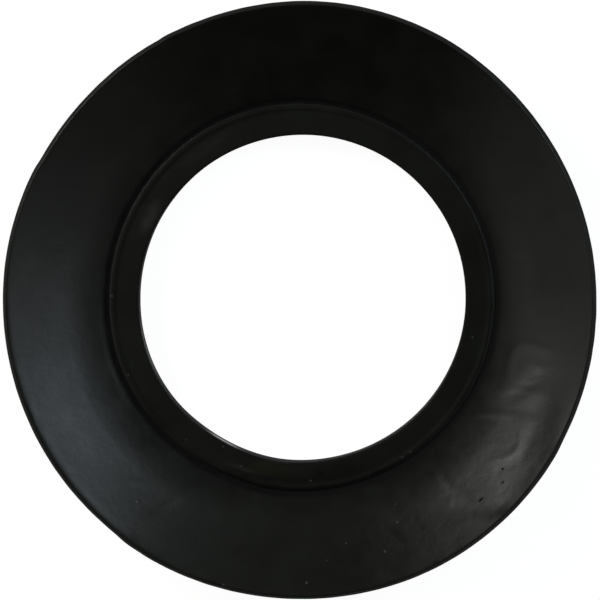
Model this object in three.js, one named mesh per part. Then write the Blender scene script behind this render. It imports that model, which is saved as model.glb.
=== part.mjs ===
import * as THREE from 'three';

// A flush valve seal: one moulded rubber ring. A thick hub grips the valve's tower with its bore,
// and a cupped lip tapers out and up from it to the rim. The hub's foot stands on Z = 0, +Z is up.

// Driving dimensions, in millimetres and degrees.
const RIM_RADIUS = 43; // outermost reach of the lip, 3 3/8 inches across
const RIM_EDGE = 0.2; // rounding of the rim's upper and lower edge
const BORE_RADIUS = 23.6; // a little under the 1 7/8 inch tower, so that the rubber grips it
const BORE_EDGE = 0.15; // rounding of the bore's upper and lower edge

const LAND_WIDTH = 3.2; // flat ring from the bore out to the bead
const BEAD_CROWN = 1.85; // radius of the bead's low crown in section
const BEAD_RISE = 0.09; // the bead's crest above the land
const BEAD_EDGE = 0.06; // rounding where the bead drops into the crease
const CREASE_DEPTH = 0.35; // bottom of the crease, outside the bead, below the land
const CREASE_DRAFT = 25; // lean of the crease's wall under the bead

const LIP_ROOT_THICKNESS = 1.8;
const LIP_RIM_THICKNESS = 1.3;
const LIP_BEND_RADIUS = 2.5; // tight bend where the lip turns up out of the crease
const LIP_BEND_ANGLE = 16; // slope of the lip where that bend ends
const LIP_SWEEP_RADIUS = 33; // wide curve that steepens the lip, up to its straight outer part
const LIP_RIM_ANGLE = 26.5; // slope of that straight part

const FOOT_HEIGHT = 0.95; // how far the hub stands below the lip's root
const FOOT_INSET = 0.5; // the foot's outer wall, inside the crease above it
const FOOT_EDGE = 0.35; // rounding of the foot's outer edge
const FOOT_FILLET = 0.45; // hollow corner between the foot's wall and the lip

// How finely the round shapes are divided.
const TURN_STEPS = 96;
const EDGE_STEPS = 2;
const CROWN_STEPS = 4;
const BEND_STEPS = 3;
const SWEEP_STEPS = 6;
const FLARE_STEPS = 2;

const QUARTER = Math.PI / 2;
const creaseDraft = THREE.MathUtils.degToRad(CREASE_DRAFT);
const bendAngle = THREE.MathUtils.degToRad(LIP_BEND_ANGLE);
const rimAngle = THREE.MathUtils.degToRad(LIP_RIM_ANGLE);

// Heights follow from the foot upwards.
const lipUnderside = FOOT_HEIGHT;
const creaseHeight = lipUnderside + LIP_ROOT_THICKNESS;
const landHeight = creaseHeight + CREASE_DEPTH;

// The bead's crown rises out of the land and comes back down to its level,
// then a small rounding turns it down the crease's leaning wall.
const crownLean = Math.acos((BEAD_CROWN - BEAD_RISE) / BEAD_CROWN);
const crownHalfWidth = BEAD_CROWN * Math.sin(crownLean);
const beadRadius = BORE_RADIUS + LAND_WIDTH + crownHalfWidth;
const beadEdge = Math.min(BEAD_EDGE, CREASE_DEPTH);
const beadEdgeX = beadRadius + crownHalfWidth - beadEdge * Math.sin(crownLean);
const beadEdgeY = landHeight - beadEdge * Math.cos(crownLean);
const wallDrop = beadEdgeY + beadEdge * Math.sin(creaseDraft) - creaseHeight;
const creaseRadius = beadEdgeX + beadEdge * Math.cos(creaseDraft) + wallDrop * Math.tan(creaseDraft);

// Roundings that have to fit their walls.
const footRadius = creaseRadius - FOOT_INSET;
const footEdge = Math.min(FOOT_EDGE, FOOT_HEIGHT / 2);
const footFillet = Math.min(FOOT_FILLET, FOOT_INSET, FOOT_HEIGHT / 2);
const rimEdge = Math.min(RIM_EDGE, LIP_RIM_THICKNESS / 3);

// The rim's end face is square to the lip, so its lower corner reaches furthest out.
const rimLowerRadius = RIM_RADIUS + rimEdge * (Math.cos(rimAngle) + Math.sin(rimAngle) - 1);
const rimUpperRadius = rimLowerRadius - LIP_RIM_THICKNESS * Math.sin(rimAngle);

// Points on a circle's arc in the section, where x is the radius from the axis and y the height.
function arc(x, y, radius, from, to, steps) {
  const points = [];
  for (let i = 0; i <= steps; i += 1) {
    const angle = THREE.MathUtils.lerp(from, to, i / steps);
    points.push(new THREE.Vector2(x + radius * Math.cos(angle), y + radius * Math.sin(angle)));
  }
  return points;
}

// The lip's upper face from crease to rim: a tight bend, a wide sweep and a straight flare, each tangent
// to the last. Each station has its place, its slope and its share of the way along the face.
function lipStations() {
  const run = rimUpperRadius - creaseRadius;
  const bendRadius = Math.min(LIP_BEND_RADIUS, run / (4 * Math.sin(bendAngle)));
  const bendRun = bendRadius * Math.sin(bendAngle);
  const bendLength = bendRadius * bendAngle;
  const bendRise = bendRadius * (1 - Math.cos(bendAngle));
  const turned = Math.sin(rimAngle) - Math.sin(bendAngle);
  const sweepRadius = Math.min(LIP_SWEEP_RADIUS, (run - bendRun) * 0.75 / turned);
  const sweepRun = sweepRadius * turned;
  const sweepLength = sweepRadius * (rimAngle - bendAngle);
  const sweepRise = sweepRadius * (Math.cos(bendAngle) - Math.cos(rimAngle));
  const flareRun = run - bendRun - sweepRun;
  const length = bendLength + sweepLength + flareRun / Math.cos(rimAngle);

  const stations = [];
  for (let i = 0; i < BEND_STEPS; i += 1) {
    const slope = bendAngle * i / BEND_STEPS;
    stations.push({
      radius: creaseRadius + bendRadius * Math.sin(slope),
      height: creaseHeight + bendRadius * (1 - Math.cos(slope)),
      slope,
      share: bendRadius * slope / length,
    });
  }
  for (let i = 0; i < SWEEP_STEPS; i += 1) {
    const slope = THREE.MathUtils.lerp(bendAngle, rimAngle, i / SWEEP_STEPS);
    stations.push({
      radius: creaseRadius + bendRun + sweepRadius * (Math.sin(slope) - Math.sin(bendAngle)),
      height: creaseHeight + bendRise + sweepRadius * (Math.cos(bendAngle) - Math.cos(slope)),
      slope,
      share: (bendLength + sweepRadius * (slope - bendAngle)) / length,
    });
  }
  for (let i = 0; i <= FLARE_STEPS; i += 1) {
    const out = flareRun * i / FLARE_STEPS;
    stations.push({
      radius: creaseRadius + bendRun + sweepRun + out,
      height: creaseHeight + bendRise + sweepRise + out * Math.tan(rimAngle),
      slope: rimAngle,
      share: (bendLength + sweepLength + out / Math.cos(rimAngle)) / length,
    });
  }
  return stations;
}

// The lip's lower face lies square below a station, by a thickness that tapers towards the rim.
function belowLip(station) {
  const thickness = THREE.MathUtils.lerp(LIP_ROOT_THICKNESS, LIP_RIM_THICKNESS, station.share);
  return new THREE.Vector2(
    station.radius + thickness * Math.sin(station.slope),
    station.height - thickness * Math.cos(station.slope),
  );
}

// Both rounded edges of the rim, from the lower face over the end face to the upper face.
function rimEnd(corner) {
  const along = new THREE.Vector2(Math.cos(rimAngle), Math.sin(rimAngle));
  const up = new THREE.Vector2(-Math.sin(rimAngle), Math.cos(rimAngle));
  const upper = new THREE.Vector2(corner.radius, corner.height)
    .addScaledVector(along, -rimEdge)
    .addScaledVector(up, -rimEdge);
  const lower = upper.clone().addScaledVector(up, 2 * rimEdge - LIP_RIM_THICKNESS);
  return [
    ...arc(lower.x, lower.y, rimEdge, rimAngle - QUARTER, rimAngle, EDGE_STEPS),
    ...arc(upper.x, upper.y, rimEdge, rimAngle, rimAngle + QUARTER, EDGE_STEPS),
  ];
}

// The closed section of the ring: outwards under the hub and lip, then back over the top.
function sealSection() {
  const stations = lipStations();
  const rim = stations.pop();
  const boreEdgeX = BORE_RADIUS + BORE_EDGE;
  const crownY = landHeight + BEAD_RISE - BEAD_CROWN;
  const section = [
    ...arc(boreEdgeX, BORE_EDGE, BORE_EDGE, 2 * QUARTER, 3 * QUARTER, EDGE_STEPS),
    ...arc(footRadius - footEdge, footEdge, footEdge, 3 * QUARTER, 4 * QUARTER, EDGE_STEPS),
    ...arc(footRadius + footFillet, lipUnderside - footFillet, footFillet, 2 * QUARTER, QUARTER, EDGE_STEPS),
    ...stations.map(belowLip),
    ...rimEnd(rim),
    ...stations.reverse().map(({ radius, height }) => new THREE.Vector2(radius, height)),
    ...arc(beadEdgeX, beadEdgeY, beadEdge, creaseDraft, QUARTER - crownLean, EDGE_STEPS),
    ...arc(beadRadius, crownY, BEAD_CROWN, QUARTER - crownLean, QUARTER + crownLean, CROWN_STEPS).slice(1),
    ...arc(boreEdgeX, landHeight - BORE_EDGE, BORE_EDGE, QUARTER, 2 * QUARTER, EDGE_STEPS),
  ];
  return [...section, section[0]];
}

function makeSeal() {
  const geometry = new THREE.LatheGeometry(sealSection(), TURN_STEPS);
  geometry.rotateX(QUARTER);
  const rubber = new THREE.MeshStandardMaterial({ color: 0x161615, roughness: 0.45, metalness: 0 });
  const seal = new THREE.Mesh(geometry, rubber);
  seal.name = 'flush_valve_seal';
  return seal;
}

const part = new THREE.Group();
part.add(makeSeal());

export default part;
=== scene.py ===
"""A black rubber flush valve seal on a pale floor, seen from its cupped side, almost straight above.

Everything is in metres, +Z up, with the hub's foot on Z = 0 and the bore's axis on X = Y = 0.
Directions round the ring are degrees anticlockwise from +X, seen from above.
"""

import math

import bpy
import numpy as np
from mathutils import Matrix, Vector


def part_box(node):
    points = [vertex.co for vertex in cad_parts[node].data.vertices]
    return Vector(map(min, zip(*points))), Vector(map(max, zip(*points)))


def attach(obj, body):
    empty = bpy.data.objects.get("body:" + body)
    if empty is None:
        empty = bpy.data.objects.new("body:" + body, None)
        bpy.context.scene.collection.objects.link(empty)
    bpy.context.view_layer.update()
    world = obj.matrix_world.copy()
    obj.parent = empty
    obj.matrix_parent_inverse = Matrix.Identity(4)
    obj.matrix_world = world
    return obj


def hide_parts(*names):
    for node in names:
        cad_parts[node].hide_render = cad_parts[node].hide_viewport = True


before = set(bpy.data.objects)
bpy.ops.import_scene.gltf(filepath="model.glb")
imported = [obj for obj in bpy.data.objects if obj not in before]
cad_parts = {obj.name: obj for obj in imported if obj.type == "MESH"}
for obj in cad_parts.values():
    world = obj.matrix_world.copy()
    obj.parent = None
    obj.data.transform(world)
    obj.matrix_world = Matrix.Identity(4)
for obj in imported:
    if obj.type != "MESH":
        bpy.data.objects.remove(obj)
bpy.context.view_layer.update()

MM = 0.001
NODE = "flush_valve_seal"
QUARTER = math.pi / 2

# Section of the ring. Its reach comes from the frame. The other sizes are the model's own, but for the
# bead and the lip's bend, which are as this seal shows them.
RIM_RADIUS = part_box(NODE)[1].x
RIM_EDGE = 0.2 * MM
BORE_RADIUS = 23.6 * MM
BORE_EDGE = 0.15 * MM
LAND_WIDTH = 3.3 * MM
BEAD_CROWN = 1.5 * MM
BEAD_RISE = 0.05 * MM
BEAD_EDGE = 0.04 * MM
CREASE_DEPTH = 0.35 * MM
CREASE_DRAFT = math.radians(25)
LIP_ROOT_THICKNESS = 1.8 * MM
LIP_RIM_THICKNESS = 1.3 * MM
LIP_BEND_RADIUS = 3.5 * MM
LIP_BEND_ANGLE = math.radians(16)
LIP_SWEEP_RADIUS = 33 * MM
LIP_RIM_ANGLE = math.radians(26.5)
FOOT_HEIGHT = 0.95 * MM
FOOT_INSET = 0.5 * MM
FOOT_EDGE = 0.35 * MM
FOOT_FILLET = 0.45 * MM
CREASE_HEIGHT = FOOT_HEIGHT + LIP_ROOT_THICKNESS
LAND_HEIGHT = CREASE_HEIGHT + CREASE_DEPTH

# How finely the ring is divided, round its axis and along the parts of its section.
TURN_STEPS = 800
UPPER_STEPS = 46
LOWER_STEPS = 14
LAND_STEPS = 8
WALL_STEPS = 4
FOOT_STEPS = 3
CROWN_STEPS = 7
BEAD_EDGE_STEPS = 3
RIM_EDGE_STEPS = 5
SMALL_ARC_STEPS = 4
# Stations close to the crease's corner keep it crisp: share of the way along the lip, and shares of
# the way up the crease's wall.
CREASE_STATION = 0.0015
WALL_STATIONS = (0.05, 0.5, 0.95)

# How far the rim falls short of the round it was moulded to: direction, millimetres.
RIM_SHORTFALL = (
    (0, 0.7), (20, 0.6), (40, 0.46), (52, 0.26), (62, 0.05), (80, -0.02), (90, 0.04), (100, 0.24),
    (110, 0.42), (125, 0.48), (135, 0.61), (145, 0.54), (160, 0.45), (170, 0.29), (200, 0.12), (225, -0.06),
    (240, -0.12), (265, 0), (280, 0.01), (295, -0.01), (305, 0.07), (315, 0.18), (325, 0.3), (345, 0.53),
)
# How far the lip's last stretch before the rim rolls down: direction, millimetres.
RIM_ROLL = (
    (0, 0), (155, 0), (180, 0.035), (197, 0.06), (210, 0.085), (225, 0.06), (240, 0.035), (270, 0.03),
    (300, 0.015), (315, 0),
)
# Where the moulding flash was trimmed: direction, millimetres that the edge steps out, degrees it takes.
TRIM_STEPS = (
    (118, -0.08, 0.5), (152.5, 0.2, 1.6), (232.5, 0.18, 1.4), (331, -0.14, 1.2),
)
# Degrees round the ring over which such a step dies away.
TRIM_REACH = 20
# How far the trimmed edge lies inside its round, and how far the lip has sagged.
EDGE_INSET = 0.015 * MM
LIP_SAG = 0.17 * MM
# Random waves round the ring: seed, wave numbers, size in millimetres.
EDGE_WAVES = (5, range(25, 90, 3), 0.015)
BEAD_WAVES = (7, range(18, 70, 4), 0.03)
SAG_WAVES = (11, range(3, 9), 0.12)
# Shares of the way along the lip: where the trimmed edge and the roll set in, where the folds start to
# die away towards the rim, and where folds and dents have grown to their full height.
TRIM_FROM = 0.9
ROLL_FROM = 0.93
FOLDS_UNTIL = 0.92
FULL_FROM = 0.15
# Degrees over which a curve round the ring is smoothed, to either side, and how softly.
CURVE_REACH = 9
CURVE_SOFTNESS = 4.5

# Folds in the lip's upper face: height and half width in millimetres, then places along the fold
# as direction and radius in millimetres. A negative height is a groove.
FOLDS = (
    (-0.055, 0.8, ((337.8, 31.8), (343.2, 31.3), (346.5, 31.2), (348.4, 31.9), (349.1, 33.5), (348.8, 37))),
    (0.09, 1.1, ((344, 36.3), (341, 35.4), (338.3, 34.4), (335.5, 33.4), (333, 32.4))),
    (0.16, 2, (
        (345.1, 36.4), (342.8, 36.7), (340.2, 37.2), (337.7, 37.7), (335.2, 38.2), (332.7, 38.7),
        (330.1, 39), (327.5, 39.2), (325.2, 39.2),
    )),
    (-0.02, 0.3, ((342.2, 35.7), (340.6, 35), (339.3, 34.2))),
    (-0.03, 0.6, ((336.5, 32), (337.8, 34), (338.6, 35.6), (339.2, 38.4))),
    (0.06, 1.3, ((331, 32.5), (333, 34.2), (334.3, 36), (335.5, 38))),
    (-0.05, 0.55, ((321.7, 28.2), (325.3, 29.5), (328.3, 31.1), (330.4, 33.4), (331.4, 35))),
    (-0.03, 0.35, (
        (329.4, 36.4), (328.2, 37), (326.9, 37.5), (324.9, 37.6), (323.1, 37.2), (320.7, 36.1),
        (318.4, 34.8),
    )),
    (0.042, 0.75, ((333.3, 37.3), (330.7, 38), (328.6, 38.4), (326.6, 38.7), (325, 38.9), (323.8, 38.8))),
    (0.025, 0.75, ((323, 38.6), (321.4, 38), (319.7, 37.5), (318, 37.1))),
    (0.06, 0.75, (
        (309.4, 31.5), (308.3, 33), (308.7, 35), (309.8, 36.4), (310.9, 37.8), (312.7, 39.1),
        (314.8, 40.7),
    )),
    (0.085, 1, ((306.3, 36.2), (307.8, 37.4), (309.5, 38.7), (311.7, 40.1), (314, 41.2), (316.5, 42))),
    (-0.03, 0.5, ((225, 38.6), (225.7, 37.4), (227.4, 35.8), (229.6, 34.7))),
    (0.05, 0.6, ((238.8, 33.6), (237.3, 35.2), (236, 36.7), (233.8, 37.8))),
    (0.03, 0.6, ((283.5, 32.6), (284.4, 35.3), (285.5, 38.6))),
    (0.03, 0.6, ((289.3, 34.4), (291.5, 36.2), (293.5, 38))),
    (0.06, 0.5, ((11.4, 31.7), (10.6, 32.1), (10.2, 33))),
    (0.012, 0.2, (
        (163.2, 36.15), (164.5, 35.8), (165.1, 35), (164.5, 34.2), (163.2, 33.85), (161.9, 34.2),
        (161.3, 35), (161.9, 35.8), (163.2, 36.15),
    )),
)
# Points per stretch of a fold's line, times that the line is rounded, half widths that a fold reaches,
# the share of the line that is a tip, and the power that shapes the fold's rise from its tips.
FOLD_STEPS = 12
FOLD_ROUNDINGS = 12
FOLD_REACH = 3
FOLD_TIP = 0.02
FOLD_RISE = 0.6
# Broad shallow dents and swellings of the lip: direction, radius, height, half widths round and out.
DENTS = (
    (320.5, 39.8, 0.1, 3, 2.5),
    (319, 42.8, 0.11, 4.5, 3.4),
    (209, 36, -0.05, 9, 2.8),
    (343, 43.5, -0.1, 6, 3),
    (206, 29, -0.03, 8, 1.5),
)

# How far the bead and the crease beside it stray outwards: direction, millimetres.
BEAD_STRAY = (
    (20, -0.12), (60, 0), (80, 0.25), (100, 0.35), (120, 0.25), (145, 0), (180, 0.05), (200, 0.3),
    (218, 0.1), (238, 0.02), (250, -0.08), (257, 0.2), (266, 0.1), (284, -0.02), (320, -0.18), (345, -0.05),
)
# Radii between which that stray grows from nothing, on the bead's inner and on its outer side.
STRAY_INSIDE = (25.9 * MM, 26.8 * MM)
STRAY_OUTSIDE = (30 * MM, 28.4 * MM)
# How far the bore strays outwards: direction, millimetres.
BORE_STRAY = (
    (0, -0.03), (30, 0.06), (60, 0.08), (85, 0.06), (110, -0.05), (140, -0.11), (165, -0.09), (182, -0.02),
    (192, 0.1), (205, 0.2), (220, 0.22), (232, 0.06), (240, 0.05), (262, 0.18), (280, 0.05), (300, 0),
    (335, -0.04),
)
# How far out from the bore that stray is felt.
BORE_STRAY_RUN = 2.5 * MM
# Where the bore's upper edge is worn round: direction and half width in degrees, depth, how far out it
# is felt, and the share of the depth by which the edge gives way outwards.
WORN_TOWARDS = 262
WORN_HALF_WIDTH = 12
WORN_DEPTH = 0.2 * MM
WORN_RUN = 1.3 * MM
WORN_OUTWARDS = 0.4

# Dull lighter or darker patches: direction, radius, half widths round and out in millimetres, colour.
PATCHES = (
    # Painted shade: this broad dark patch darkens the land's lower side.
    (272, 25.9, 14, 1.6, (0.0014, 0.0014, 0.0011)),
    (151.7, 24.9, 2.2, 0.8, (0.013, 0.013, 0.012)),
    (124, 25.7, 3.5, 0.7, (0.006, 0.0064, 0.0058)),
    (250, 26.1, 2.6, 0.35, (0.009, 0.009, 0.008)),
    (258, 25.2, 2.4, 0.9, (0.0058, 0.0062, 0.0028)),
    (268, 25.2, 2.6, 0.7, (0.005, 0.0052, 0.0028)),
)
# Specks of light dust: direction, radius and half width in millimetres, strength.
SPECKS = (
    (272.8, 26.4, 0.11, 1), (293.4, 34.9, 0.15, 0.8), (242.1, 24.3, 0.13, 0.7), (271.3, 40.6, 0.17, 0.8),
    (347.5, 25.2, 0.13, 0.6), (288.6, 38.1, 0.17, 0.7), (280.5, 35.7, 0.13, 0.7), (230.9, 37.6, 0.14, 1),
    (203.8, 27.5, 0.13, 0.7), (179.3, 27.5, 0.17, 0.6), (250, 25.9, 0.14, 0.5), (305.4, 27.1, 0.16, 0.4),
    (302.4, 27.1, 0.16, 0.35), (275.7, 37.7, 0.11, 0.45), (230.7, 26.5, 0.16, 0.3),
    (294.6, 32.6, 0.16, 0.3), (296.7, 35.7, 0.14, 0.3), (50.5, 41.3, 0.1, 0.5), (129.3, 41.1, 0.1, 0.5),
    (254.9, 42.3, 0.15, 0.6),
)
# Nicks in the surface: direction, radius, half widths round and out in millimetres.
NICKS = (
    (320.3, 37.7, 0.17, 0.14), (318.2, 38.9, 0.22, 0.11), (312.3, 38.5, 0.42, 0.14),
)
# The crease is painted in shade up to the first of these heights, and free of it from the second.
CREASE_SHADE = (2.8 * MM, 2.93 * MM)
# Where the bore's wall has kept its gloss: direction, half width round it in millimetres, share.
GLOSSY_WALL = ((241, 2.6, 1), (198, 4, 0.5))
# Heights between which that gloss grows from nothing, and half its width outwards in millimetres.
GLOSSY_HEIGHT = (0.9 * MM, 1.6 * MM)
GLOSSY_DEPTH = 0.6
# Share of its half width over which the border of each kind of spot is blurred.
PATCH_BLUR = 0.7
SPECK_BLUR = 0.5
NICK_BLUR = 0.6
GLOSSY_BLUR = 0.6

# The rubber's darker and lighter black, the colour of dust, the painted shade in the crease, and the colour
# of nicks.
RUBBER_DARK = (0.0029, 0.0031, 0.0023)
RUBBER_LIGHT = (0.0046, 0.005, 0.0037)
DUST = (0.038, 0.038, 0.036)
CREASE_PAINTED_SHADE = (0.0012, 0.0013, 0.0011)
NICK_BLACK = (0.001, 0.001, 0.001)
# Its specular share, the range of its roughness, and what steep or nicked places have on top.
SPECULAR = 0.15
ROUGHNESS = (0.28, 0.36)
DULLNESS = 0.6
# Its fine grain: strength and depth of the bump.
GRAIN_STRENGTH = 0.35
GRAIN_DEPTH = 0.06 * MM
# Noises in the rubber: scale and detail.
MOTTLE = (180, 4)
RAGGED = (700, 5)
SHEEN = (320, 5)
GRAIN = (900, 6)
# The middle values of a noise that are spread over its whole effect. The ragged one keeps this much of
# a patch.
NOISE_MIDDLE = (0.3, 0.7)
RAGGED_MIDDLE = (0.35, 0.6)
RAGGED_KEPT = (0.45, 1)
# A face looks upwards where its normal rises more than this. It is cut or moulded dull where the
# normal rises or falls less than the first of two values, and satin from the second.
UPWARDS = 0.2
STEEP = (0.6, 0.86)
# Sockets of a mix node that carry colours.
MIX_COLOURS = (6, 7)
MIX_RESULT = 2

# The floor: half its side, how far it lies below the foot, its grey, the glow that the camera and
# glossy rays see, and the share of shaded grey in what they see.
FLOOR_HALF = 2.0
FLOOR_DROP = 0.02 * MM
FLOOR_GREY = (0.8, 0.8, 0.8, 1)
WHITE = (1, 1, 1, 1)
FLOOR_GLOW = 1.07
FLOOR_SHADED = 0.12

# Soft rectangular lamps that face the seal: name, direction, degrees from straight up, width, height,
# radiance, colour.
LAMPS = (
    ("key_right", 24, 50.5, 0.4, 0.2, 11.4, (0.8, 0.9, 1.0)),
    ("key_right_far", 44, 50.5, 0.34, 0.2, 6.5, (0.86, 0.94, 1.0)),
    ("key_right_near", 0, 48, 0.4, 0.21, 3.2, (0.86, 0.94, 1.0)),
    ("key_left", 144, 60, 0.4, 0.21, 19.5, (0.98, 1.0, 0.94)),
    ("key_left_side", 166, 48, 0.45, 0.21, 1.8, (0.98, 1.0, 0.95)),
    ("key_left_low", 163, 62.5, 0.26, 0.19, 7.0, (0.98, 1.0, 0.95)),
    ("room_left", 192, 42, 0.4, 0.4, 0.95, (0.96, 1.0, 0.94)),
    ("wall_left", 211, 54, 0.4, 0.35, 0.8, (0.96, 1.0, 0.94)),
    ("wall_near", 308, 82, 0.6, 0.21, 1.9, (1.0, 0.98, 0.93)),
    ("room_near", 312, 48, 0.4, 0.21, 0.5, (0.96, 1.0, 0.94)),
    ("room_right", 336, 41, 0.4, 0.4, 0.58, (0.96, 1.0, 0.94)),
    ("room_far", 80, 36, 0.55, 0.21, 0.6, (0.96, 1.0, 0.94)),
    ("overhead", 172, 9, 0.4, 0.21, 0.58, (0.96, 1.0, 0.94)),
)
LAMP_DISTANCE = 1.0
# A lamp's watts for each square metre and unit of radiance.
LAMP_POWER = 4
SURROUND_STRENGTH = 0.004

# The camera leans from straight above towards the photograph's upper right.
CAMERA_DISTANCE = 0.6
CAMERA_LEAN = math.radians(5.5)
CAMERA_LEAN_TOWARDS = math.radians(60)
AIM = Vector((-0.345 * MM, -0.296 * MM, 1.5 * MM))
VIEW_WIDTH = 86.75 * MM
# Nearest and farthest distance that it sees.
VIEW_FROM = 0.01
VIEW_TO = 10


def arc(x, y, radius, start, end, steps):
    """Points on a circle's arc in the section, angles in radians."""
    angles = np.linspace(start, end, steps + 1)
    return [(x + radius * math.cos(a), y + radius * math.sin(a)) for a in angles]


def lip_stations(crease_radius, shares):
    """The lip's upper face from crease to rim: rows of radius, height, slope and share of the way."""
    rim_upper = RIM_RADIUS + RIM_EDGE * (math.cos(LIP_RIM_ANGLE) + math.sin(LIP_RIM_ANGLE) - 1)
    rim_upper -= LIP_RIM_THICKNESS * math.sin(LIP_RIM_ANGLE)
    bend_run = LIP_BEND_RADIUS * math.sin(LIP_BEND_ANGLE)
    bend_rise = LIP_BEND_RADIUS * (1 - math.cos(LIP_BEND_ANGLE))
    bend_length = LIP_BEND_RADIUS * LIP_BEND_ANGLE
    sweep_run = LIP_SWEEP_RADIUS * (math.sin(LIP_RIM_ANGLE) - math.sin(LIP_BEND_ANGLE))
    sweep_rise = LIP_SWEEP_RADIUS * (math.cos(LIP_BEND_ANGLE) - math.cos(LIP_RIM_ANGLE))
    sweep_length = LIP_SWEEP_RADIUS * (LIP_RIM_ANGLE - LIP_BEND_ANGLE)
    flare_run = rim_upper - crease_radius - bend_run - sweep_run
    length = bend_length + sweep_length + flare_run / math.cos(LIP_RIM_ANGLE)
    rows = []
    for share in shares:
        along = share * length
        if along < bend_length:
            slope = along / LIP_BEND_RADIUS
            out = LIP_BEND_RADIUS * math.sin(slope)
            rise = LIP_BEND_RADIUS * (1 - math.cos(slope))
        elif along < bend_length + sweep_length:
            slope = LIP_BEND_ANGLE + (along - bend_length) / LIP_SWEEP_RADIUS
            out = bend_run + LIP_SWEEP_RADIUS * (math.sin(slope) - math.sin(LIP_BEND_ANGLE))
            rise = bend_rise + LIP_SWEEP_RADIUS * (math.cos(LIP_BEND_ANGLE) - math.cos(slope))
        else:
            slope = LIP_RIM_ANGLE
            flare = (along - bend_length - sweep_length) * math.cos(slope)
            out = bend_run + sweep_run + flare
            rise = bend_rise + sweep_rise + flare * math.tan(slope)
        rows.append((crease_radius + out, CREASE_HEIGHT + rise, slope, share))
    return rows


def below(station):
    """The point on the lip's lower face square below a station."""
    radius, height, slope, share = station
    thickness = LIP_ROOT_THICKNESS + (LIP_RIM_THICKNESS - LIP_ROOT_THICKNESS) * share
    return radius + thickness * math.sin(slope), height - thickness * math.cos(slope)


def hub_upper_side():
    """The crease's radius, and points from its wall over the bead and the land and down the bore."""
    lean = math.acos((BEAD_CROWN - BEAD_RISE) / BEAD_CROWN)
    crown_half = BEAD_CROWN * math.sin(lean)
    crown_x = BORE_RADIUS + LAND_WIDTH + crown_half
    crown_y = LAND_HEIGHT + BEAD_RISE - BEAD_CROWN
    edge_x = crown_x + crown_half - BEAD_EDGE * math.sin(lean)
    edge_y = LAND_HEIGHT - BEAD_EDGE * math.cos(lean)
    wall_x = edge_x + BEAD_EDGE * math.cos(CREASE_DRAFT)
    drop = edge_y + BEAD_EDGE * math.sin(CREASE_DRAFT) - CREASE_HEIGHT
    run = drop * math.tan(CREASE_DRAFT)
    bore_x = BORE_RADIUS + BORE_EDGE
    bore_y = LAND_HEIGHT - BORE_EDGE

    points = [(wall_x + run * (1 - w), CREASE_HEIGHT + drop * w) for w in WALL_STATIONS]
    points += arc(edge_x, edge_y, BEAD_EDGE, CREASE_DRAFT, QUARTER - lean, BEAD_EDGE_STEPS)
    points += arc(crown_x, crown_y, BEAD_CROWN, QUARTER - lean, QUARTER + lean, CROWN_STEPS)[1:]
    land = np.linspace(BORE_RADIUS + LAND_WIDTH, bore_x, LAND_STEPS + 1)[1:-1]
    points += [(r, LAND_HEIGHT) for r in land]
    points += arc(bore_x, bore_y, BORE_EDGE, QUARTER, 2 * QUARTER, SMALL_ARC_STEPS)
    wall = np.linspace(bore_y, BORE_EDGE, WALL_STEPS + 1)[1:-1]
    points += [(BORE_RADIUS, z) for z in wall]
    return wall_x + run, points


def hub_under_side(foot_radius):
    """Points from the bore's lower edge along the foot to the hollow corner below the lip."""
    bore_x = BORE_RADIUS + BORE_EDGE
    foot_x = foot_radius - FOOT_EDGE
    fillet_x = foot_radius + FOOT_FILLET
    fillet_y = FOOT_HEIGHT - FOOT_FILLET
    points = arc(bore_x, BORE_EDGE, BORE_EDGE, 2 * QUARTER, 3 * QUARTER, SMALL_ARC_STEPS)
    points += [(r, 0.0) for r in np.linspace(bore_x, foot_x, FOOT_STEPS + 1)[1:-1]]
    points += arc(foot_x, FOOT_EDGE, FOOT_EDGE, 3 * QUARTER, 4 * QUARTER, SMALL_ARC_STEPS)
    points += arc(fillet_x, fillet_y, FOOT_FILLET, 2 * QUARTER, QUARTER, SMALL_ARC_STEPS)
    return points


def rim_end(upper_end):
    """Points of the rim's end face with both its edges rounded, up to the lip's last upper point."""
    along = np.array((math.cos(LIP_RIM_ANGLE), math.sin(LIP_RIM_ANGLE)))
    up = np.array((-math.sin(LIP_RIM_ANGLE), math.cos(LIP_RIM_ANGLE)))
    upper_edge = np.array(upper_end) - RIM_EDGE * (along + up)
    lower_edge = upper_edge + up * (2 * RIM_EDGE - LIP_RIM_THICKNESS)
    points = arc(*lower_edge, RIM_EDGE, LIP_RIM_ANGLE - QUARTER, LIP_RIM_ANGLE, SMALL_ARC_STEPS)
    points += arc(*upper_edge, RIM_EDGE, LIP_RIM_ANGLE, LIP_RIM_ANGLE + QUARTER, RIM_EDGE_STEPS)
    return points


def seal_section():
    """The closed section: rows of radius, height, share of the way along the lip, 1 on the upper side."""
    crease_radius, over = hub_upper_side()
    under = hub_under_side(crease_radius - FOOT_INSET)
    shares = np.insert(np.linspace(0, 1, UPPER_STEPS + 1), 1, CREASE_STATION)
    upper = lip_stations(crease_radius, shares)
    lower = lip_stations(crease_radius, np.linspace(0, 1, LOWER_STEPS + 1))
    rows = [(r, z, 0.0, 0.0) for r, z in under]
    rows += [(*below(station), station[3], 0.0) for station in lower[:-1]]
    rows += [(r, z, 1.0, 0.0) for r, z in rim_end(upper[-1][:2])]
    rows += [(r, z, share, 1.0) for r, z, _, share in reversed(upper[:-1])]
    rows += [(r, z, 0.0, 1.0 if z > LAND_HEIGHT / 2 else 0.0) for r, z in over]
    return np.array(rows)


def ramp(value, start, end):
    """0 before the start, 1 past the end and even between them. The end may be the smaller one."""
    return np.clip((value - start) / (end - start), 0, 1)


def eased(value):
    """A rise from 0 to 1 that starts and ends gently."""
    return value * value * (3 - 2 * value)


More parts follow.
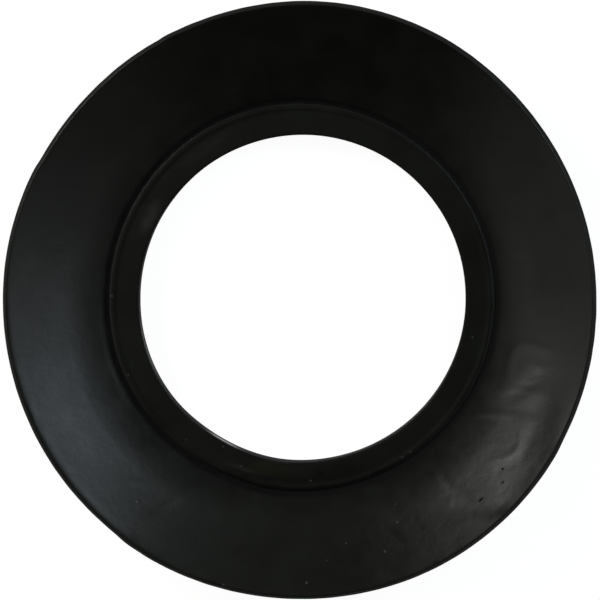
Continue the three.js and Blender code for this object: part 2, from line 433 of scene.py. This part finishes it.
def round_curve(turn, places):
    """Smooth curve round the ring through given places of direction and millimetres, in metres."""
    where = [math.radians(direction) for direction, _ in places]
    amount = [value * MM for _, value in places]
    smooth = np.zeros_like(turn)
    weights = 0.0
    for shift in range(-CURVE_REACH, CURVE_REACH + 1):
        weight = math.exp(-((shift / CURVE_SOFTNESS) ** 2))
        smooth += weight * np.interp(turn + math.radians(shift), where, amount, period=2 * math.pi)
        weights += weight
    return smooth / weights


def between(turn, direction):
    """Signed angle from a direction, in degrees, to each place round the ring."""
    return (np.degrees(turn) - direction + 180) % 360 - 180


def trimmed(turn):
    """How far the trimmed edge lies outside the smooth one, in metres: a short step at each place."""
    total = np.zeros_like(turn)
    for direction, rise, width in TRIM_STEPS:
        off = between(turn, direction)
        total += 0.5 * rise * MM * np.tanh(off / width) * np.exp(-((off / TRIM_REACH) ** 2))
    return total


def waves(turn, seed, numbers, size):
    """A random curve round the ring with the given wave numbers, up to size millimetres high, in metres."""
    random = np.random.default_rng(seed)
    total = np.zeros_like(turn)
    for number in numbers:
        total += random.normal() * np.sin(number * turn + random.uniform(0, 2 * math.pi))
    return total * size * MM / np.abs(total).max()


def fold_path(places):
    """A fold's control places as a dense line of points, in metres, rounded between the places."""
    known = np.arange(len(places))
    dense = np.linspace(0, len(places) - 1, FOLD_STEPS * (len(places) - 1) + 1)
    direction = np.radians(np.interp(dense, known, [place[0] for place in places]))
    radius = np.interp(dense, known, [place[1] for place in places]) * MM
    line = np.stack([radius * np.cos(direction), radius * np.sin(direction)], axis=-1)
    for _ in range(FOLD_ROUNDINGS):
        line[1:-1] = (line[:-2] + 2 * line[1:-1] + line[2:]) / 4
    return line


def folds(x, y):
    """Height that the folds add to the lip's upper face at each place, in metres."""
    total = np.zeros_like(x)
    for height, width, places in FOLDS:
        line = fold_path(places)
        reach = FOLD_REACH * width * MM
        near = (x > line[:, 0].min() - reach) & (x < line[:, 0].max() + reach)
        near &= (y > line[:, 1].min() - reach) & (y < line[:, 1].max() + reach)
        apart = np.hypot(x[near][:, None] - line[None, :, 0], y[near][:, None] - line[None, :, 1])
        closest = apart.argmin(axis=1)
        along = closest / (len(line) - 1)
        fade = np.sin(math.pi * np.clip(along, FOLD_TIP, 1 - FOLD_TIP)) ** FOLD_RISE
        total[near] += height * MM * fade * np.exp(-((apart.min(axis=1) / (width * MM)) ** 2))
    return total


def dents(x, y):
    """Height that the broad dents and swellings add to the lip, in metres."""
    total = np.zeros_like(x)
    for direction, radius, height, round_width, out_width in DENTS:
        towards = math.radians(direction)
        off_x = x - radius * MM * math.cos(towards)
        off_y = y - radius * MM * math.sin(towards)
        out = (off_x * math.cos(towards) + off_y * math.sin(towards)) / (out_width * MM)
        beside = (off_y * math.cos(towards) - off_x * math.sin(towards)) / (round_width * MM)
        total += height * MM * np.exp(-(out ** 2) - beside ** 2)
    return total


def wear(turn, true_radius, upper):
    """How worn each place of the bore's upper edge is, from 0 to 1."""
    beside = np.exp(-((between(turn, WORN_TOWARDS) / WORN_HALF_WIDTH) ** 2))
    return beside[:, None] * upper * ramp(true_radius, BORE_RADIUS + WORN_RUN, BORE_RADIUS) ** 2


def stray_radius(turn, true_radius, share, upper, worn):
    """Distance of each place from the bore's axis, with rim, bead and bore out of round."""
    edge = trimmed(turn) - EDGE_INSET + waves(turn, *EDGE_WAVES)
    bead = round_curve(turn, BEAD_STRAY) + waves(turn, *BEAD_WAVES)
    near_bead = eased(ramp(true_radius, *STRAY_INSIDE) * ramp(true_radius, *STRAY_OUTSIDE))
    near_bore = eased(ramp(true_radius, BORE_RADIUS + BORE_STRAY_RUN, BORE_RADIUS))
    radius = true_radius - round_curve(turn, RIM_SHORTFALL)[:, None] * eased(share)
    radius = radius + edge[:, None] * ramp(share, TRIM_FROM, 1)
    radius = radius + bead[:, None] * near_bead * upper
    radius = radius + round_curve(turn, BORE_STRAY)[:, None] * near_bore
    return radius + WORN_OUTWARDS * WORN_DEPTH * worn


def stray_height(turn, true_height, share, upper, worn, x, y):
    """Height of each place, with the lip sagged, rolled, folded and dented and the bore's edge worn."""
    sag = waves(turn, *SAG_WAVES) - LIP_SAG
    roll = round_curve(turn, RIM_ROLL)
    wrinkles = dents(x, y) + folds(x, y) * ramp(share, 1, FOLDS_UNTIL) * upper
    height = true_height + sag[:, None] * eased(share)
    height = height - WORN_DEPTH * worn
    height = height - roll[:, None] * ramp(share, ROLL_FROM, 1) ** 2
    return height + wrinkles * ramp(share, 0, FULL_FROM)


def ring_faces(count):
    """Quads from each section to the next one round the ring, by the numbers of their corners."""
    step = np.arange(TURN_STEPS)[:, None] * count
    place = np.arange(count)[None, :]
    next_step = (step + count) % (TURN_STEPS * count)
    next_place = (place + 1) % count
    corners = [step + place, next_step + place, next_step + next_place, step + next_place]
    return np.stack(corners, axis=-1).reshape(-1, 4)


def make_seal():
    """The ring as a fine mesh: its section turned about the bore's axis, then pulled out of true."""
    rows = seal_section()
    true_radius, true_height, share, upper = (rows[None, :, column] for column in range(4))
    turn = np.arange(TURN_STEPS) * (2 * math.pi / TURN_STEPS)
    worn = wear(turn, true_radius, upper)
    radius = stray_radius(turn, true_radius, share, upper, worn)
    x = radius * np.cos(turn)[:, None]
    y = radius * np.sin(turn)[:, None]
    height = stray_height(turn, true_height, share, upper, worn, x, y)
    points = np.stack([x, y, height], axis=-1)
    faces = ring_faces(len(rows))
    print("seal mesh:", len(rows), "places,", 2 * len(faces), "triangles")

    mesh = bpy.data.meshes.new("seal_ring")
    mesh.from_pydata(points.reshape(-1, 3).tolist(), [], faces.tolist())
    mesh.shade_smooth()
    mesh.update()
    seal = bpy.data.objects.new("seal_ring", mesh)
    bpy.context.scene.collection.objects.link(seal)
    return seal


def blob(material, place, direction, radius, round_width, out_width, blur):
    """A spot on the ring as a value that falls from 1 in its middle to 0 at its edge."""
    nodes = material.node_tree.nodes
    links = material.node_tree.links
    towards = math.radians(direction)
    mapping = nodes.new("ShaderNodeMapping")
    mapping.vector_type = "TEXTURE"
    middle = (radius * MM * math.cos(towards), radius * MM * math.sin(towards), 0)
    mapping.inputs["Location"].default_value = middle
    mapping.inputs["Rotation"].default_value = (0, 0, towards)
    mapping.inputs["Scale"].default_value = (out_width * MM, round_width * MM, 1)
    links.new(place, mapping.inputs["Vector"])
    apart = nodes.new("ShaderNodeVectorMath")
    apart.operation = "LENGTH"
    links.new(mapping.outputs["Vector"], apart.inputs[0])
    fall = nodes.new("ShaderNodeMapRange")
    fall.interpolation_type = "SMOOTHSTEP"
    fall.inputs["From Min"].default_value = 1 - blur
    fall.inputs["From Max"].default_value = 1 + blur
    fall.inputs["To Min"].default_value = 1
    fall.inputs["To Max"].default_value = 0
    links.new(apart.outputs["Value"], fall.inputs["Value"])
    return fall.outputs["Result"]


def calculate(material, operation, first, second):
    """A maths node on two values, either of them a socket or a number."""
    node = material.node_tree.nodes.new("ShaderNodeMath")
    node.operation = operation
    for socket, value in zip(node.inputs, (first, second)):
        if isinstance(value, (int, float)):
            socket.default_value = value
        else:
            material.node_tree.links.new(value, socket)
    return node.outputs["Value"]


def product(material, first, *others):
    """Values multiplied with each other."""
    for other in others:
        first = calculate(material, "MULTIPLY", first, other)
    return first


def noise(material, place, scale, detail):
    """A noise texture's value."""
    node = material.node_tree.nodes.new("ShaderNodeTexNoise")
    node.inputs["Scale"].default_value = scale
    node.inputs["Detail"].default_value = detail
    material.node_tree.links.new(place, node.inputs["Vector"])
    return node.outputs["Fac"]


def blend(material, factor, first, second):
    """One colour over another by a factor."""
    node = material.node_tree.nodes.new("ShaderNodeMix")
    node.data_type = "RGBA"
    material.node_tree.links.new(factor, node.inputs["Factor"])
    for number, value in zip(MIX_COLOURS, (first, second)):
        socket = node.inputs[number]
        if isinstance(value, tuple):
            socket.default_value = (*value, 1)
        else:
            material.node_tree.links.new(value, socket)
    return node.outputs[MIX_RESULT]


def place_height(material, place):
    """The height of each place above the floor."""
    apart = material.node_tree.nodes.new("ShaderNodeSeparateXYZ")
    material.node_tree.links.new(place, apart.inputs[0])
    return apart.outputs["Z"]


def spread(material, value, low, high, to_low, to_high):
    """A value's range stretched onto another one."""
    node = material.node_tree.nodes.new("ShaderNodeMapRange")
    node.inputs["From Min"].default_value = low
    node.inputs["From Max"].default_value = high
    node.inputs["To Min"].default_value = to_low
    node.inputs["To Max"].default_value = to_high
    material.node_tree.links.new(value, node.inputs["Value"])
    return node.outputs["Result"]


def nicked(material, place, upwards):
    """1 in the nicks and 0 elsewhere."""
    nick = 0.0
    for direction, radius, round_width, out_width in NICKS:
        spot = blob(material, place, direction, radius, round_width, out_width, NICK_BLUR)
        nick = calculate(material, "MAXIMUM", spot, nick)
    return product(material, nick, upwards)


def rubber_colour(material, place, upwards, nick):
    """Nearly black, a little mottled, with dull patches (the broad dark one painted shade), specks of dust,
    painted shade in the crease, and the nicks.
    """
    mottle = spread(material, noise(material, place, *MOTTLE), *NOISE_MIDDLE, 0, 1)
    colour = blend(material, mottle, RUBBER_DARK, RUBBER_LIGHT)
    ragged = spread(material, noise(material, place, *RAGGED), *RAGGED_MIDDLE, *RAGGED_KEPT)
    # The first patch is painted shade on the land's lower side; the others are marks in the rubber.
    for direction, radius, round_width, out_width, shade in PATCHES:
        spot = blob(material, place, direction, radius, round_width, out_width, PATCH_BLUR)
        colour = blend(material, product(material, spot, ragged, upwards), colour, shade)
    for direction, radius, width, strength in SPECKS:
        spot = blob(material, place, direction, radius, width, width, SPECK_BLUR)
        colour = blend(material, product(material, spot, upwards, strength), colour, DUST)
    # Painted shade: the crease's bottom is darkened where shade would fall.
    crease = spread(material, place_height(material, place), *CREASE_SHADE, 1, 0)
    colour = blend(material, product(material, crease, upwards), colour, CREASE_PAINTED_SHADE)
    return blend(material, nick, colour, NICK_BLACK)


def rubber_roughness(material, place, rise, nick):
    """Satin, but dull in the nicks and on steep faces, except where the bore's wall kept its gloss."""
    dull = spread(material, calculate(material, "ABSOLUTE", rise, 0), *STEEP, 1, 0)
    high = spread(material, place_height(material, place), *GLOSSY_HEIGHT, 0, 1)
    for direction, width, share in GLOSSY_WALL:
        spot = blob(material, place, direction, BORE_RADIUS / MM, width, GLOSSY_DEPTH, GLOSSY_BLUR)
        glossy = product(material, spot, high, share)
        dull = product(material, dull, calculate(material, "SUBTRACT", 1, glossy))
    dull = calculate(material, "MAXIMUM", nick, dull)
    satin = spread(material, noise(material, place, *SHEEN), *NOISE_MIDDLE, *ROUGHNESS)
    return calculate(material, "ADD", satin, product(material, dull, DULLNESS))


def rubber_material():
    """Black moulded rubber, satin and slightly uneven, with the marks of use that this seal shows and
    painted shade in its crease and on one side of its land.
    """
    material = bpy.data.materials.new("seal_rubber")
    material.use_nodes = True
    nodes = material.node_tree.nodes
    links = material.node_tree.links
    shader = nodes["Principled BSDF"]
    place = nodes.new("ShaderNodeTexCoord").outputs["Object"]
    normal = nodes.new("ShaderNodeSeparateXYZ")
    links.new(nodes.new("ShaderNodeNewGeometry").outputs["Normal"], normal.inputs[0])
    rise = normal.outputs["Z"]
    upwards = calculate(material, "GREATER_THAN", rise, UPWARDS)
    nick = nicked(material, place, upwards)
    links.new(rubber_colour(material, place, upwards, nick), shader.inputs["Base Color"])
    links.new(rubber_roughness(material, place, rise, nick), shader.inputs["Roughness"])
    shader.inputs["Specular IOR Level"].default_value = SPECULAR

    bump = nodes.new("ShaderNodeBump")
    bump.inputs["Strength"].default_value = GRAIN_STRENGTH
    bump.inputs["Distance"].default_value = GRAIN_DEPTH
    links.new(noise(material, place, *GRAIN), bump.inputs["Height"])
    links.new(bump.outputs["Normal"], shader.inputs["Normal"])
    return material


def make_floor():
    """A pale floor that camera and glossy rays see as white, with the seal's faint shadow on it."""
    half = FLOOR_HALF
    corners = [(-half, -half, 0), (half, -half, 0), (half, half, 0), (-half, half, 0)]
    mesh = bpy.data.meshes.new("floor")
    mesh.from_pydata(corners, [], [(0, 1, 2, 3)])
    floor = bpy.data.objects.new("floor", mesh)
    floor.location.z = -FLOOR_DROP
    bpy.context.scene.collection.objects.link(floor)

    material = bpy.data.materials.new("floor_white")
    material.use_nodes = True
    nodes = material.node_tree.nodes
    links = material.node_tree.links
    nodes.clear()
    output = nodes.new("ShaderNodeOutputMaterial")
    path = nodes.new("ShaderNodeLightPath")
    diffuse = nodes.new("ShaderNodeBsdfDiffuse")
    diffuse.inputs["Color"].default_value = FLOOR_GREY
    glow = nodes.new("ShaderNodeEmission")
    glow.inputs["Color"].default_value = WHITE
    glow.inputs["Strength"].default_value = FLOOR_GLOW
    seen = nodes.new("ShaderNodeMixShader")
    seen.inputs["Fac"].default_value = FLOOR_SHADED
    links.new(glow.outputs[0], seen.inputs[1])
    links.new(diffuse.outputs[0], seen.inputs[2])
    previous = path.outputs["Is Camera Ray"]
    for ray in ("Is Glossy Ray", "Is Transmission Ray"):
        either = nodes.new("ShaderNodeMath")
        either.operation = "ADD"
        either.use_clamp = True
        links.new(previous, either.inputs[0])
        links.new(path.outputs[ray], either.inputs[1])
        previous = either.outputs[0]
    mix = nodes.new("ShaderNodeMixShader")
    links.new(previous, mix.inputs["Fac"])
    links.new(diffuse.outputs[0], mix.inputs[1])
    links.new(seen.outputs[0], mix.inputs[2])
    links.new(mix.outputs[0], output.inputs["Surface"])
    mesh.materials.append(material)
    return floor


def make_world():
    """A dim, even surround."""
    world = bpy.data.worlds.new("surround")
    world.use_nodes = True
    background = world.node_tree.nodes["Background"]
    background.inputs["Color"].default_value = WHITE
    background.inputs["Strength"].default_value = SURROUND_STRENGTH
    bpy.context.scene.world = world


def make_lamp(name, towards, zenith, width, height, radiance, colour):
    """A soft rectangular lamp that faces the seal, placed by its direction and angle from straight up."""
    lamp = bpy.data.lights.new(name, "AREA")
    lamp.shape = "RECTANGLE"
    lamp.size = width
    lamp.size_y = height
    lamp.energy = radiance * width * height * LAMP_POWER
    lamp.color = colour
    thing = bpy.data.objects.new(name, lamp)
    towards, zenith = math.radians(towards), math.radians(zenith)
    aside = math.sin(zenith)
    direction = Vector((aside * math.cos(towards), aside * math.sin(towards), math.cos(zenith)))
    thing.location = direction * LAMP_DISTANCE
    thing.rotation_euler = direction.to_track_quat("Z", "Y").to_euler()
    bpy.context.scene.collection.objects.link(thing)
    return thing


def make_camera():
    """The photograph's view: a long lens almost straight above, with the ring filling the square frame."""
    camera = bpy.data.cameras.new("camera")
    camera.sensor_fit = "HORIZONTAL"
    camera.angle = 2 * math.atan(VIEW_WIDTH / 2 / CAMERA_DISTANCE)
    camera.clip_start = VIEW_FROM
    camera.clip_end = VIEW_TO
    thing = bpy.data.objects.new("camera", camera)
    lean = math.sin(CAMERA_LEAN)
    back = Vector((
        lean * math.cos(CAMERA_LEAN_TOWARDS),
        lean * math.sin(CAMERA_LEAN_TOWARDS),
        math.cos(CAMERA_LEAN),
    ))
    right = Vector((0, 1, 0)).cross(back).normalized()
    thing.location = AIM + back * CAMERA_DISTANCE
    thing.rotation_euler = Matrix((right, back.cross(right), back)).transposed().to_euler()
    bpy.context.scene.collection.objects.link(thing)
    bpy.context.scene.camera = thing


make_camera()
make_world()
for lamp in LAMPS:
    make_lamp(*lamp)
make_floor()
seal = make_seal()
seal.data.materials.append(rubber_material())
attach(seal, "root")
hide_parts(NODE)

bpy.context.scene.view_settings.view_transform = "Standard"
